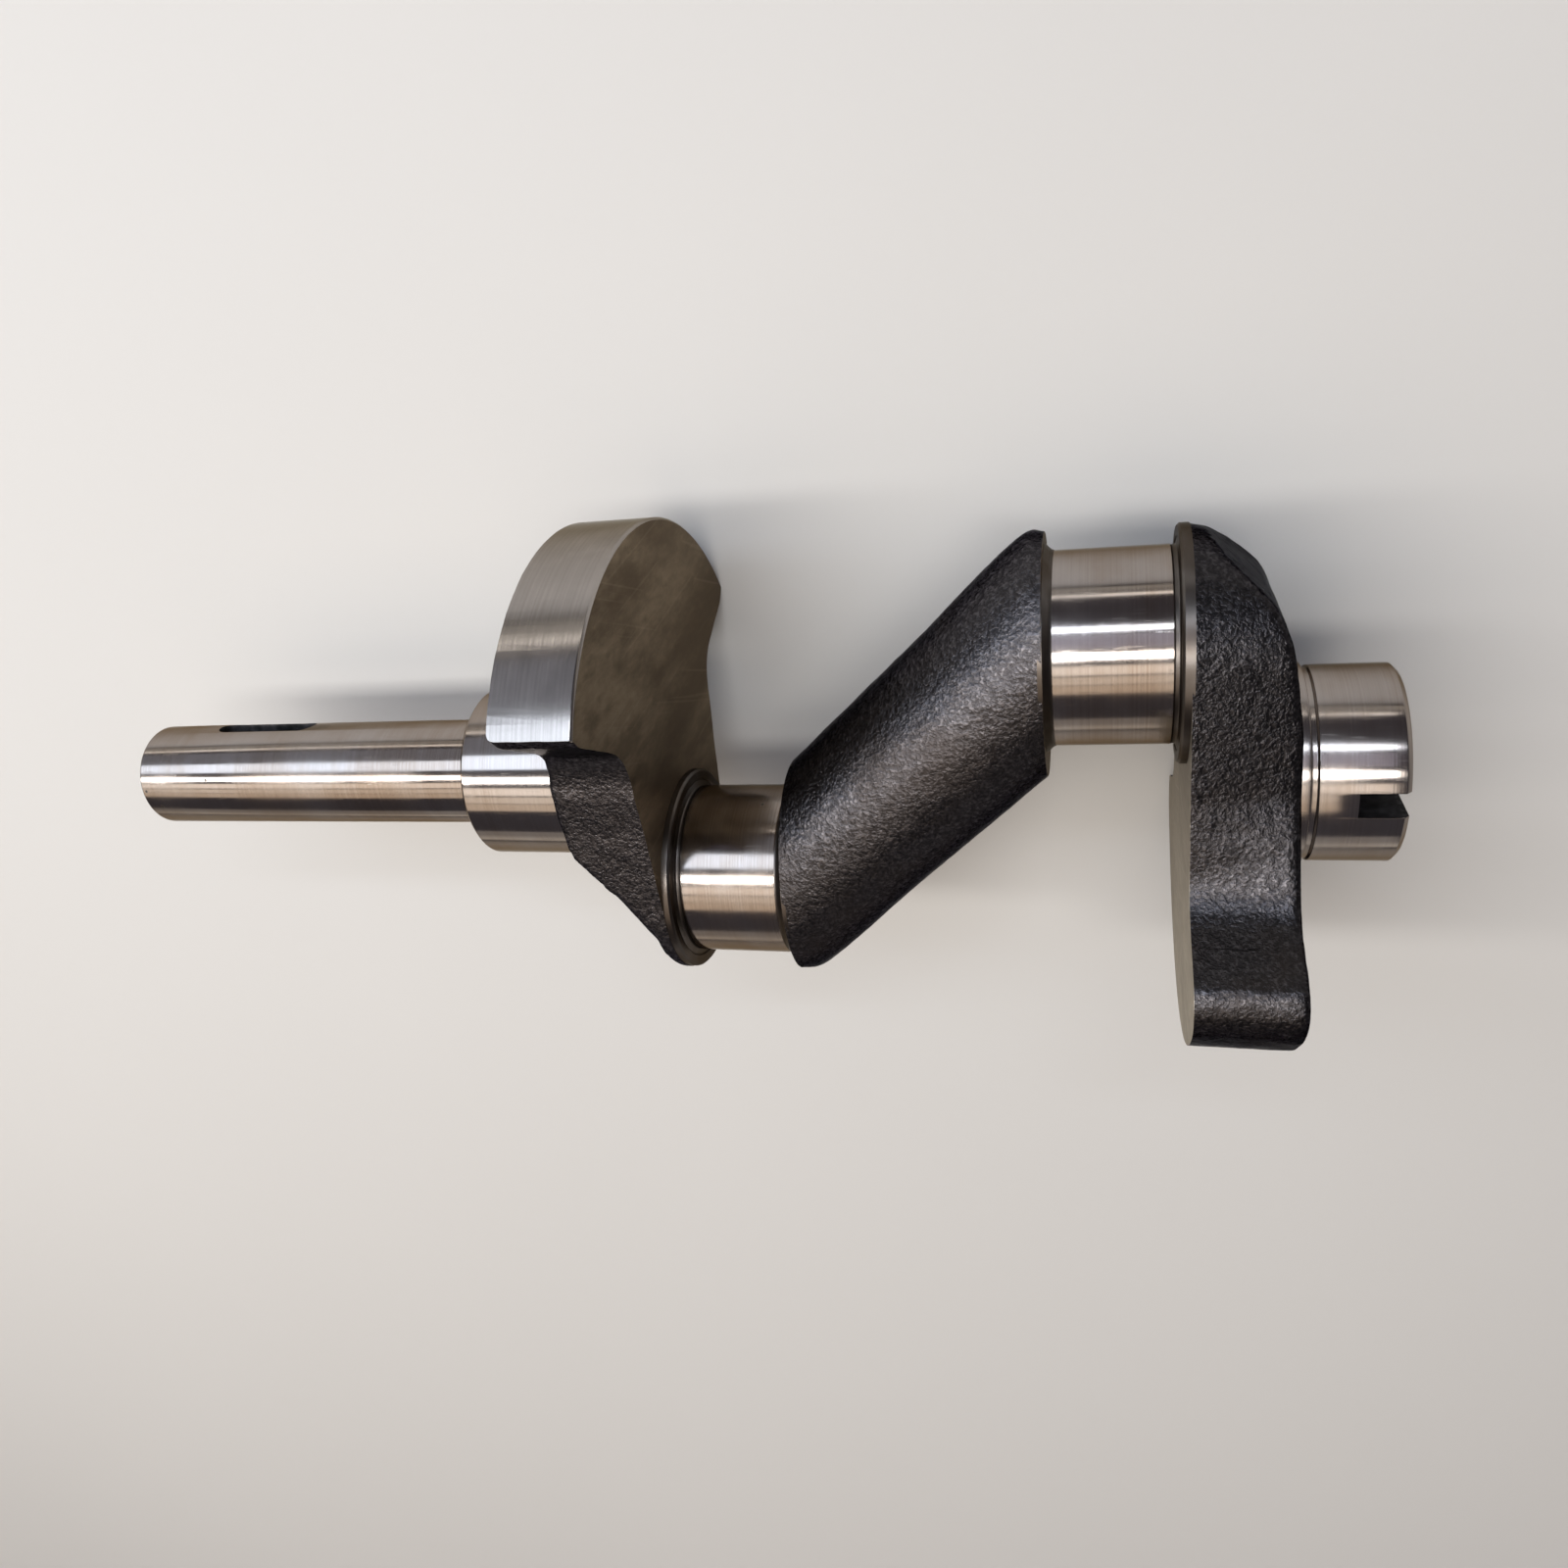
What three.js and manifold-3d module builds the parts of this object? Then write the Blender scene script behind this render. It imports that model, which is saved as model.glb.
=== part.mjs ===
// Two-throw crankshaft, millimetres. +X runs along the rotation axis from the keyed output end to
// the slotted rear end, +Y points at the rear crankpin and +Z is square to the plane of the throws.
// The origin is on the rotation axis at half length.
import * as THREE from 'three';
import { mergeVertices } from 'three/addons/utils/BufferGeometryUtils.js';
import Module from 'manifold-3d';

const wasm = await Module();
wasm.setup();

// Driving dimensions
const LENGTH = 296;
const SHAFT_LENGTH = 97.5;
const SHAFT_RADIUS = 12.7;
const JOURNAL_RADIUS = 20;
const PIN_RADIUS = 20;
const THROW = 26.5;
const FRONT_JOURNAL_LENGTH = 23;
const FRONT_WEB_THICKNESS = 23.5;
const PIN_LENGTH = 27.2;
const CENTRE_WEB_LENGTH = 58;
const REAR_JOURNAL_LENGTH = 19;
const COUNTERWEIGHT_RADIUS = 58;
const COUNTERWEIGHT_HALF_ANGLE = 59;
const FRONT_PLATE_THICKNESS = 18.2;
const JOINT_GAP = 0.3;

// Details
const CHAMFER = 1;
const ROOT_IN_RING = 1.5;
const ROOT_AT_CENTRE = 0.2;
const CENTRE_HOLE_RADIUS = 4;
const THRUST_RING_RADIUS = 24;
const THRUST_RING_THICKNESS = 1.8;
const PIN_FILLET = 1.4;
const SPIGOT_LENGTH = 2;
const LOBE_RADIUS = 24.2;
const WAIST_HALF_WIDTH = 26.4;
const CORNER_ROUND = 1.2;
const COUNTERWEIGHT_START = 21;
const BOSS_BASE_RADIUS = 29;
const BOSS_TIP_RADIUS = 20.5;
const RELIEF_WIDTH = 1.2;
const RELIEF_DEPTH = 0.5;
const COLLAR_LENGTH = 1.4;
const COLLAR_RADIUS = 20.8;
const KEYWAY = { start: 19, length: 28, width: 6.35, depth: 3.6, angle: -6 };
const DRIVE_SLOT = { width: 5, depth: 9 };
const CENTRE_WEB = { halfHeight: 27.4, halfDepth: 21.3, bulge: 1.3, tipRound: 3, stations: 20, sides: 48 };
const ROUND_SIDES = 64;
const ARC_STEPS = 14;

// Stations along the axis
const outputEnd = -LENGTH / 2;
const shoulder = outputEnd + SHAFT_LENGTH;
const frontWebOuter = shoulder + FRONT_JOURNAL_LENGTH;
const frontWebInner = frontWebOuter + FRONT_WEB_THICKNESS;
const frontPlateOuter = frontWebInner - FRONT_PLATE_THICKNESS;
const centreWebFront = frontWebInner + PIN_LENGTH;
const centreWebRear = centreWebFront + CENTRE_WEB_LENGTH;
const rearWebInner = centreWebRear + PIN_LENGTH;
const rearEnd = LENGTH / 2;
const rearWebOuter = rearEnd - REAR_JOURNAL_LENGTH;
const rearPlateOuter = rearWebOuter - JOINT_GAP;

const finishes = {
  ground: { color: 0xb9b4ae, roughness: 0.22, metalness: 1 },
  machined: { color: 0x77716a, roughness: 0.42, metalness: 1 },
  cast: { color: 0x2b2b2e, roughness: 0.62, metalness: 0.8 },
};

const radians = THREE.MathUtils.degToRad;

function toSolid(geometry) {
  const bare = geometry.index ? geometry.toNonIndexed() : geometry.clone();
  bare.deleteAttribute('normal');
  bare.deleteAttribute('uv');
  const merged = mergeVertices(bare, 1e-4);
  const mesh = new wasm.Mesh({
    numProp: 3,
    vertProperties: new Float32Array(merged.attributes.position.array),
    triVerts: new Uint32Array(merged.index.array),
  });
  return new wasm.Manifold(mesh);
}

function toGeometry(solid) {
  const mesh = solid.getMesh();
  const geometry = new THREE.BufferGeometry();
  geometry.setAttribute('position', new THREE.BufferAttribute(mesh.vertProperties, mesh.numProp));
  geometry.setIndex(new THREE.BufferAttribute(mesh.triVerts, 1));
  return geometry;
}

// A turned solid on the rotation axis, from [radius, x] points that start and end on the axis.
function turned(points, offsetY = 0) {
  const profile = points.map(([radius, x]) => new THREE.Vector2(radius, x));
  const geometry = new THREE.LatheGeometry(profile, ROUND_SIDES);
  geometry.rotateZ(-Math.PI / 2);
  geometry.translate(0, offsetY, 0);
  return toSolid(geometry);
}

// A plate square to the axis: the outline is drawn in Y and Z and runs from x0 to x1.
function plate(outline, x0, x1) {
  const geometry = new THREE.ExtrudeGeometry(outline, {
    depth: x1 - x0,
    bevelEnabled: false,
    curveSegments: ARC_STEPS,
  });
  const turn = new THREE.Matrix4().makeBasis(
    new THREE.Vector3(0, 1, 0),
    new THREE.Vector3(0, 0, 1),
    new THREE.Vector3(1, 0, 0),
  );
  geometry.applyMatrix4(turn);
  geometry.translate(x0, 0, 0);
  return toSolid(geometry);
}

// A prism along Z over an outline drawn in X and Y.
function sideProfile(points) {
  const outline = new THREE.Shape(points.map(([x, y]) => new THREE.Vector2(x, y)));
  const reach = COUNTERWEIGHT_RADIUS + 5;
  const geometry = new THREE.ExtrudeGeometry(outline, { depth: 2 * reach, bevelEnabled: false });
  geometry.translate(0, 0, -reach);
  return toSolid(geometry);
}

function block(x0, x1, y0, y1, z0, z1) {
  const geometry = new THREE.BoxGeometry(x1 - x0, y1 - y0, z1 - z0);
  geometry.translate((x0 + x1) / 2, (y0 + y1) / 2, (z0 + z1) / 2);
  return toSolid(geometry);
}

// The outline that both outer webs share, drawn for the front web: the counterweight is on +Y and
// the crankpin lobe on -Y.
function webOutline() {
  const end = radians(COUNTERWEIGHT_HALF_ANGLE);
  const rimEnd = end - CORNER_ROUND / COUNTERWEIGHT_RADIUS;
  const cornerY = COUNTERWEIGHT_RADIUS * Math.cos(end);
  const cornerZ = COUNTERWEIGHT_RADIUS * Math.sin(end);
  const outline = new THREE.Shape();
  outline.absarc(0, 0, COUNTERWEIGHT_RADIUS, -rimEnd, rimEnd, false);
  outline.quadraticCurveTo(cornerY, cornerZ, cornerY - CORNER_ROUND, cornerZ - CORNER_ROUND);
  outline.lineTo(26.8, 47.6);
  outline.lineTo(19.6, 34.3);
  outline.quadraticCurveTo(16, 27.6, 6, 27.8);
  outline.lineTo(-3, WAIST_HALF_WIDTH);
  outline.lineTo(-THROW, LOBE_RADIUS);
  outline.absarc(-THROW, 0, LOBE_RADIUS, Math.PI / 2, 1.5 * Math.PI, false);
  outline.lineTo(-3, -WAIST_HALF_WIDTH);
  outline.lineTo(6, -27.8);
  outline.quadraticCurveTo(16, -27.6, 19.6, -34.3);
  outline.lineTo(26.8, -47.6);
  outline.lineTo(cornerY - CORNER_ROUND, CORNER_ROUND - cornerZ);
  outline.quadraticCurveTo(
    cornerY,
    -cornerZ,
    COUNTERWEIGHT_RADIUS * Math.cos(rimEnd),
    -COUNTERWEIGHT_RADIUS * Math.sin(rimEnd),
  );
  return outline;
}

// The shaft's inner end is let into a shallow recess, so that the journal keeps a ring-shaped shoulder.
function outputShaft() {
  const x1 = shoulder + SPIGOT_LENGTH - JOINT_GAP;
  const body = turned([
    [0, outputEnd + CENTRE_HOLE_RADIUS * 1.6],
    [CENTRE_HOLE_RADIUS, outputEnd],
    [SHAFT_RADIUS - CHAMFER, outputEnd],
    [SHAFT_RADIUS, outputEnd + CHAMFER],
    [SHAFT_RADIUS, x1],
    [0, x1],
  ]);
  const end = KEYWAY.width / 2;
  const slot = new THREE.Shape();
  slot.absarc(outputEnd + KEYWAY.start + end, 0, end, Math.PI / 2, 1.5 * Math.PI, false);
  slot.absarc(outputEnd + KEYWAY.start + KEYWAY.length - end, 0, end, -Math.PI / 2, Math.PI / 2, false);
  const cutter = new THREE.ExtrudeGeometry(slot, { depth: 10, bevelEnabled: false, curveSegments: 8 });
  cutter.translate(0, 0, SHAFT_RADIUS - KEYWAY.depth);
  cutter.rotateX(-Math.PI / 2 + radians(KEYWAY.angle));
  return body.subtract(toSolid(cutter));
}

function frontMainJournal() {
  const x1 = frontWebOuter - JOINT_GAP;
  return turned([
    [0, shoulder + SPIGOT_LENGTH],
    [SHAFT_RADIUS + JOINT_GAP, shoulder + SPIGOT_LENGTH],
    [SHAFT_RADIUS + JOINT_GAP, shoulder],
    [JOURNAL_RADIUS - CHAMFER * 0.6, shoulder],
    [JOURNAL_RADIUS, shoulder + CHAMFER * 0.6],
    [JOURNAL_RADIUS, x1],
    [0, x1],
  ]);
}

// The rounded wedge that carries a web's back from the journal over to the crankpin.
function taper(x0, radius0, offset0, x1, radius1, offset1) {
  const disc = (x, radius, offset) => {
    const thin = Math.sign(x1 - x0) * 0.2;
    const inner = x === x1 ? x - thin : x + thin;
    const [low, high] = [Math.min(x, inner), Math.max(x, inner)];
    return turned([[0, low], [radius, low], [radius, high], [0, high]], offset);
  };
  return wasm.Manifold.hull([disc(x0, radius0, offset0), disc(x1, radius1, offset1)]);
}

function frontWebBody() {
  const slab = plate(webOutline(), frontPlateOuter, frontWebInner);
  const boss = turned([
    [0, frontWebOuter],
    [BOSS_TIP_RADIUS, frontWebOuter],
    [BOSS_BASE_RADIUS, frontPlateOuter],
    [BOSS_BASE_RADIUS, frontPlateOuter + 2],
    [0, frontPlateOuter + 2],
  ]).intersect(plate(webOutline(), frontWebOuter - 1, frontWebInner));
  // The back of the web falls away from the journal to a thin lip round the crankpin.
  const relief = sideProfile([
    [frontWebOuter - 5, -3],
    [frontWebOuter, -3],
    [frontWebOuter + 4.5, -11],
    [frontWebOuter + 14.5, -23.5],
    [frontWebOuter + 19.6, -31.5],
    [frontWebOuter + 20.6, -42],
    [frontWebOuter + 21, -60],
    [frontWebOuter - 5, -60],
  ]);
  const flare = taper(frontWebOuter, BOSS_TIP_RADIUS, 0, frontWebInner - 3, LOBE_RADIUS - 1.4, -THROW);
  return slab.add(boss).subtract(relief).add(flare);
}

function rearWebBody() {
  const outline = webOutline();
  const slab = plate(outline, -rearPlateOuter, -rearWebInner);
  const lip = 3.4;
  const relief = sideProfile([
    [-rearWebInner - lip, -60],
    [-rearWebInner - lip, -50],
    [-rearWebInner - lip - 4.4, -47.2],
    [-rearWebInner - 11.4, -44],
    [-rearWebInner - 15.4, -39.8],
    [-rearWebInner - 17.6, -32.5],
    [-rearPlateOuter - 0.01, -14],
    [-rearPlateOuter - 5, -14],
    [-rearPlateOuter - 5, -60],
  ]);
  const flare = taper(-rearPlateOuter, COLLAR_RADIUS, 0, -rearWebInner - 6, LOBE_RADIUS - 5, -THROW);
  return slab.subtract(relief).add(flare).rotate([0, 0, 180]);
}

// The web is parted from its counterweight on a plane square to Y.
function partWeb(body, side) {
  const edge = COUNTERWEIGHT_START;
  const far = LENGTH;
  const near = side > 0 ? [-far, edge - JOINT_GAP] : [-edge + JOINT_GAP, far];
  const outer = side > 0 ? [edge, far] : [-far, -edge];
  return {
    web: body.intersect(block(-far, far, near[0], near[1], -far, far)),
    counterweight: body.intersect(block(-far, far, outer[0], outer[1], -far, far)),
  };
}

// A ring on the web's face round the root of the crankpin.
function thrustRing(x0, x1, offsetY) {
  const bore = PIN_RADIUS + PIN_FILLET + JOINT_GAP;
  return turned([
    [bore, x0],
    [THRUST_RING_RADIUS, x0],
    [THRUST_RING_RADIUS, x1],
    [bore, x1],
    [bore, x0],
  ], offsetY);
}

// A crankpin between two webs, with a fillet at each root that starts outside the given root length.
function crankpin(x0, x1, rootBefore, rootAfter, offsetY) {
  const rootRadius = PIN_RADIUS + PIN_FILLET;
  const fillet = (x, way) => [
    [rootRadius, x],
    [PIN_RADIUS + PIN_FILLET * 0.3, x + way * PIN_FILLET * 0.3],
    [PIN_RADIUS, x + way * PIN_FILLET],
  ];
  return turned([
    [0, x0],
    [rootRadius, x0],
    ...fillet(x0 + rootBefore, 1),
    ...fillet(x1 - rootAfter, -1).reverse(),
    [rootRadius, x1],
    [0, x1],
  ], offsetY);
}

// The diagonal web: ellipses square to the axis, whose centres run from one crankpin's axis to the
// other's. Its pointed corners, below at the front and above at the rear, are fuller and rounded.
function centreWeb() {
  const { halfHeight, halfDepth, bulge, tipRound, stations, sides } = CENTRE_WEB;
  const middle = (centreWebFront + centreWebRear) / 2;
  const points = [];
  const faces = [];
  for (let i = 0; i <= stations; i += 1) {
    const t = -Math.cos((Math.PI * i) / stations);
    const centre = THROW * t;
    for (let j = 0; j < sides; j += 1) {
      const angle = (2 * Math.PI * j) / sides;
      const towardsTip = Math.max(0, t * Math.sin(angle));
      const fuller = bulge * towardsTip * 4 * Math.abs(t) * (1 - Math.abs(t));
      const rounded = tipRound * towardsTip * Math.abs(t) ** 20;
      points.push(middle + (CENTRE_WEB_LENGTH / 2) * t);
      points.push(centre + (halfHeight + fuller - rounded) * Math.sin(angle));
      points.push(halfDepth * Math.cos(angle));
      const next = (j + 1) % sides;
      if (i < stations) {
        const a = i * sides + j;
        const b = i * sides + next;
        faces.push(a, a + sides, b, b, a + sides, b + sides);
      }
    }
  }
  for (let j = 1; j < sides - 1; j += 1) {
    const last = stations * sides;
    faces.push(0, j, j + 1, last, last + j + 1, last + j);
  }
  const geometry = new THREE.BufferGeometry();
  geometry.setAttribute('position', new THREE.Float32BufferAttribute(points, 3));
  geometry.setIndex(faces);
  return toSolid(geometry);
}

function rearMainJournal() {
  const x0 = rearWebOuter;
  const body = turned([
    [0, x0],
    [COLLAR_RADIUS, x0],
    [COLLAR_RADIUS, x0 + COLLAR_LENGTH],
    [JOURNAL_RADIUS - RELIEF_DEPTH, x0 + COLLAR_LENGTH],
    [JOURNAL_RADIUS - RELIEF_DEPTH, x0 + COLLAR_LENGTH + RELIEF_WIDTH],
    [JOURNAL_RADIUS, x0 + COLLAR_LENGTH + RELIEF_WIDTH + 0.4],
    [JOURNAL_RADIUS, rearEnd - CHAMFER],
    [JOURNAL_RADIUS - CHAMFER, rearEnd],
    [0, rearEnd],
  ]);
  const half = DRIVE_SLOT.width / 2;
  const reach = JOURNAL_RADIUS + 5;
  return body.subtract(block(rearEnd - DRIVE_SLOT.depth, rearEnd + 5, -half, half, -reach, reach));
}

const front = partWeb(frontWebBody(), 1);
const rear = partWeb(rearWebBody(), -1);
const frontRingInner = frontWebInner + THRUST_RING_THICKNESS;
const rearRingInner = rearWebInner - THRUST_RING_THICKNESS;
const frontPinStart = frontWebInner + JOINT_GAP;
const frontPinEnd = centreWebFront - JOINT_GAP;
const rearPinStart = centreWebRear + JOINT_GAP;
const rearPinEnd = rearWebInner - JOINT_GAP;

const pieces = [
  ['output_shaft', outputShaft(), 'ground'],
  ['front_main_journal', frontMainJournal(), 'ground'],
  ['front_web', front.web, 'cast'],
  ['front_counterweight', front.counterweight, 'machined'],
  ['front_thrust_ring', thrustRing(frontWebInner + JOINT_GAP, frontRingInner, -THROW), 'machined'],
  ['front_crankpin', crankpin(frontPinStart, frontPinEnd, ROOT_IN_RING, ROOT_AT_CENTRE, -THROW), 'ground'],
  ['centre_web', centreWeb(), 'cast'],
  ['rear_crankpin', crankpin(rearPinStart, rearPinEnd, ROOT_AT_CENTRE, ROOT_IN_RING, THROW), 'ground'],
  ['rear_thrust_ring', thrustRing(rearRingInner, rearWebInner - JOINT_GAP, THROW), 'machined'],
  ['rear_web', rear.web, 'cast'],
  ['rear_counterweight', rear.counterweight, 'cast'],
  ['rear_main_journal', rearMainJournal(), 'ground'],
];

const crankshaft = new THREE.Group();
for (const [name, solid, finish] of pieces) {
  const mesh = new THREE.Mesh(toGeometry(solid), new THREE.MeshStandardMaterial(finishes[finish]));
  mesh.name = name;
  crankshaft.add(mesh);
}

export default crankshaft;
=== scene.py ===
"""A cast two-throw crankshaft: ground journals and crankpins, black cast webs and a turned rim."""

import math

import bmesh
import bpy
from bpy.props import FloatProperty, FloatVectorProperty, IntProperty, PointerProperty
from mathutils import Matrix, Vector, noise


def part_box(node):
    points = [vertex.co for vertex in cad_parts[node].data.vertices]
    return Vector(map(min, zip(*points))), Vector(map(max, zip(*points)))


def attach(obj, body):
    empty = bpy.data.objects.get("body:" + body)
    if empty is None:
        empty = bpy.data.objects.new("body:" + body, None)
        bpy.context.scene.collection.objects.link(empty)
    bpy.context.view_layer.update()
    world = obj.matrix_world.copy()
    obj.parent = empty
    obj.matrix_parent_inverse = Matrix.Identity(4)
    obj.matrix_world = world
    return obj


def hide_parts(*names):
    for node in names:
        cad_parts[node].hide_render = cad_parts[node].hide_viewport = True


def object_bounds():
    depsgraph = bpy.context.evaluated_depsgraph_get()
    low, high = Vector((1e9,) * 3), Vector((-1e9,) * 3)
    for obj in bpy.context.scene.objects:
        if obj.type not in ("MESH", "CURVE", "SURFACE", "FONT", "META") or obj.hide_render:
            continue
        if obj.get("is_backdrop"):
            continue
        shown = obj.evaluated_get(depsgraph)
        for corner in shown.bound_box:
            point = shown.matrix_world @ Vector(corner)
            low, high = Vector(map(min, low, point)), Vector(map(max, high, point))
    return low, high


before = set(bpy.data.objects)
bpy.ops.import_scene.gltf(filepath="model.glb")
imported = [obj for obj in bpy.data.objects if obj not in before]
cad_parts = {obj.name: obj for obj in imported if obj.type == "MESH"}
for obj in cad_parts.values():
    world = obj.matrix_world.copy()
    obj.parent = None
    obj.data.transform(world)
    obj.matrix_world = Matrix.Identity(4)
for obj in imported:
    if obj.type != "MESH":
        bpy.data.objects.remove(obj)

bl_info = {
    "name": "Cast Crankshaft",
    "version": (1, 0, 0),
    "blender": (4, 5, 0),
    "location": "3D View > Sidebar > Crankshaft",
    "description": "Builds a two-throw crankshaft with its finishes round the packed frame",
    "category": "Add Mesh",
}

MM = 0.001
BODY = "root"

# Boxes of the sections, as the frame holds them.
SHAFT_LOW, SHAFT_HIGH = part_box("output_shaft")
FRONT_LOW, FRONT_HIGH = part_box("front_main_journal")
FRONT_WEB_LOW, FRONT_WEB_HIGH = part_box("front_web")
FRONT_WEIGHT_LOW, FRONT_WEIGHT_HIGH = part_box("front_counterweight")
FRONT_RING_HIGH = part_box("front_thrust_ring")[1]
FRONT_PIN_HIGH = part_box("front_crankpin")[1]
CENTRE_LOW, CENTRE_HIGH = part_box("centre_web")
REAR_RING_LOW, REAR_RING_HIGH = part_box("rear_thrust_ring")
REAR_WEB_LOW, REAR_WEB_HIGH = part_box("rear_web")
REAR_LOW, REAR_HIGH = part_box("rear_main_journal")

SHAFT_RADIUS = SHAFT_HIGH.z
JOURNAL_RADIUS = FRONT_HIGH.z
PIN_ROOT_RADIUS = FRONT_PIN_HIGH.z
THROW = (REAR_RING_LOW.y + REAR_RING_HIGH.y) / 2
RING_RADIUS = REAR_RING_HIGH.z
COLLAR_RADIUS = REAR_HIGH.z
RIM_RADIUS = FRONT_WEIGHT_HIGH.y
PARTING = FRONT_WEIGHT_LOW.y

# Machined details that aren't in the boxes.
PIN_FILLET = 1.4 * MM
PIN_RADIUS = PIN_ROOT_RADIUS - PIN_FILLET
CHAMFER = 1 * MM
KEYWAY_START = 19 * MM
KEYWAY_LENGTH = 28 * MM
KEYWAY_DEPTH = 3.6 * MM
KEYWAY_TURN = math.radians(6)
SLOT_DEPTH = 9 * MM
COLLAR_WIDTH = 1.4 * MM
GROOVE_DEPTH = 0.5 * MM
GROOVE_WIDTH = 1.2 * MM

# Tolerances for telling one surface from the next.
ON_PLANE = 0.02 * MM
ON_PIN = 0.03 * MM


class CrankshaftSizes(bpy.types.PropertyGroup):
    turned_sides: IntProperty(
        name="Turned sides", description="Facets round a turned piece", default=192, min=24
    )
    edge_break: FloatProperty(
        name="Edge break", description="Width of the small bevel on machined edges",
        default=0.25 * MM, unit="LENGTH", precision=5,
    )
    cast_voxel: FloatProperty(
        name="Cast voxel", description="Grid that the castings are rounded on",
        default=0.8 * MM, unit="LENGTH", precision=5,
    )
    cast_round: IntProperty(
        name="Cast rounding", description="Smoothing passes over a casting's edges", default=10
    )
    cast_swell: FloatProperty(
        name="Cast swell", description="Height of the casting's slow unevenness",
        default=0.10 * MM, unit="LENGTH", precision=5,
    )
    lathe_centre: FloatProperty(
        name="Lathe centre", description="Radius of the centre drilled in the output end",
        default=4 * MM, unit="LENGTH", precision=4,
    )
    keyway_width: FloatProperty(
        name="Keyway width", description="Width of the key", default=6.35 * MM, unit="LENGTH",
        precision=5,
    )
    slot_width: FloatProperty(
        name="Drive slot width", description="Width of the slot in the rear end",
        default=5 * MM, unit="LENGTH", precision=4,
    )


class CrankshaftColours(bpy.types.PropertyGroup):
    steel: FloatVectorProperty(
        name="Ground steel", description="Bearing surfaces", subtype="COLOR",
        default=(0.35, 0.322, 0.306), min=0, max=1,
    )
    film: FloatVectorProperty(
        name="Oil film", description="Warm film on the steel", subtype="COLOR",
        default=(0.28, 0.232, 0.196), min=0, max=1,
    )
    milled: FloatVectorProperty(
        name="Milled face", description="Face of the front web", subtype="COLOR",
        default=(0.37, 0.294, 0.204), min=0, max=1,
    )
    # Also the colour of the painted shade towards the bottom of a milled face.
    milled_dark: FloatVectorProperty(
        name="Milled stain", description="Dark stains on the milled face", subtype="COLOR",
        default=(0.120, 0.090, 0.062), min=0, max=1,
    )
    rim: FloatVectorProperty(
        name="Turned rim", description="Rim of the front counterweight", subtype="COLOR",
        default=(0.36, 0.333, 0.312), min=0, max=1,
    )
    cast: FloatVectorProperty(
        name="Cast skin", description="As-cast surfaces", subtype="COLOR",
        default=(0.062, 0.059, 0.063), min=0, max=1,
    )
    floor: FloatVectorProperty(
        name="Floor", description="Plain pale floor", subtype="COLOR",
        default=(0.56, 0.55, 0.532), min=0, max=1,
    )


class CrankshaftView(bpy.types.PropertyGroup):
    distance: FloatProperty(
        name="Distance", description="Camera to rotation axis", default=260.3 * MM, unit="LENGTH"
    )
    station: FloatProperty(
        name="Station", description="Where along the axis the camera stands",
        default=93.25 * MM, unit="LENGTH",
    )
    lean: FloatProperty(
        name="Lean", description="Camera's turn round the axis, from above towards the rear throw",
        default=math.radians(25.1), subtype="ANGLE",
    )
    yaw: FloatProperty(
        name="Yaw", description="Turn to the left", default=math.radians(15.41), subtype="ANGLE"
    )
    pitch: FloatProperty(
        name="Pitch", description="Nod", default=math.radians(-0.8), subtype="ANGLE"
    )
    roll: FloatProperty(
        name="Roll", description="Roll", default=math.radians(-0.58), subtype="ANGLE"
    )
    lens: FloatProperty(name="Lens", description="Focal length in mm on a 36 mm sensor", default=26.96)


# ---------------------------------------------------------------------------------------------
# Shader sums


class Signal:
    """A shader value. Each Python operator on it adds one Math node."""

    def __init__(self, finish, socket):
        self.finish = finish
        self.socket = socket

    def __add__(self, other):
        return self.finish.math("ADD", self, other)

    def __radd__(self, other):
        return self.finish.math("ADD", other, self)

    def __sub__(self, other):
        return self.finish.math("SUBTRACT", self, other)

    def __rsub__(self, other):
        return self.finish.math("SUBTRACT", other, self)

    def __mul__(self, other):
        return self.finish.math("MULTIPLY", self, other)

    def __pow__(self, other):
        return self.finish.math("POWER", self, other)


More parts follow.
